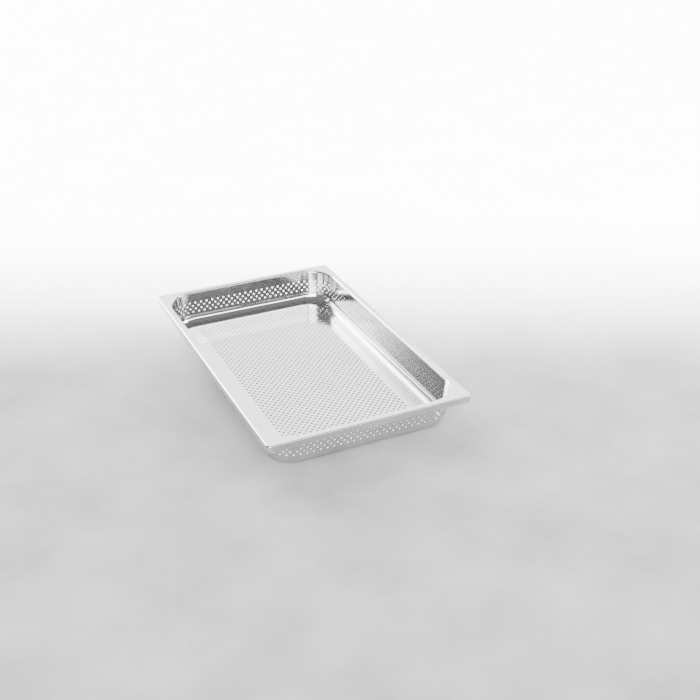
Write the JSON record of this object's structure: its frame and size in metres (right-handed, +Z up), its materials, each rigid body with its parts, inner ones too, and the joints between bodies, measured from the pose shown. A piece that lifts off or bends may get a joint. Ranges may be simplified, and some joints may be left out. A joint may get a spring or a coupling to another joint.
{
  "type": "perforated baking tray",
  "caption": "Deep-drawn rectangular oven tray with a perforated floor and walls and a flat, turned-down rim.",
  "frame": {"origin": "centre of the floor's underside, on the surface that the tray stands on", "axes": "+Z up, out of the tray's mouth; +Y along the long side; +X along the short side"},
  "size_m": [0.325, 0.53, 0.055],
  "materials": {
    "stainless_steel": "satin"
  },
  "bodies": {
    "root": {"tray_pan": "stainless_steel"}
  },
  "joints": []
}
